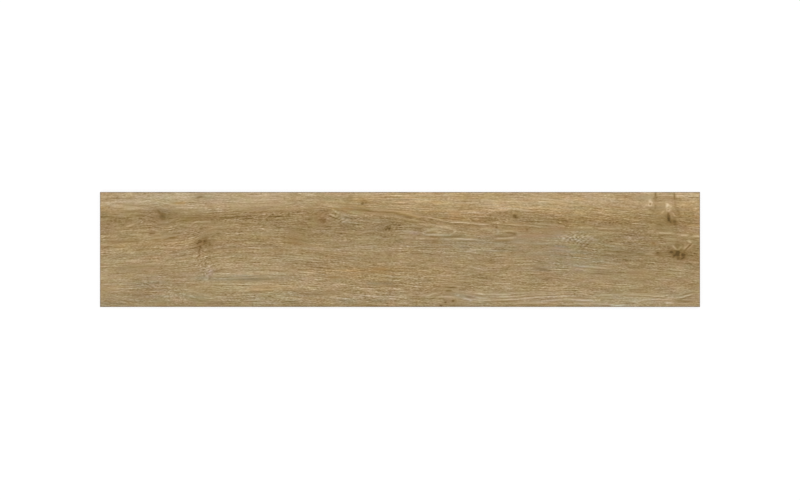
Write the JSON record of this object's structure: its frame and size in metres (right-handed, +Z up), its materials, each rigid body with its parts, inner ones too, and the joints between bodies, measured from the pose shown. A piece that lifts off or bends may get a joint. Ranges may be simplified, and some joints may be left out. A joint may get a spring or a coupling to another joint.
{
  "type": "wood-look porcelain plank tile",
  "caption": "Long flat rectified porcelain floor tile with a printed oak-grain face, micro-bevelled edges and a ribbed back that keys into adhesive.",
  "frame": {"origin": "under the middle of the tile, on the plane of the back's ribs and rim, where the tile lies on the floor", "axes": "+X along the plank, +Y across it, +Z up through the thickness, out of the printed face"},
  "size_m": [1.2, 0.23, 0.01],
  "materials": {
    "porcelain": "matt glazed oak print on the face, unglazed porcelain body on the ground sides and the back"
  },
  "bodies": {
    "root": {"plank_tile": "porcelain"}
  },
  "joints": []
}
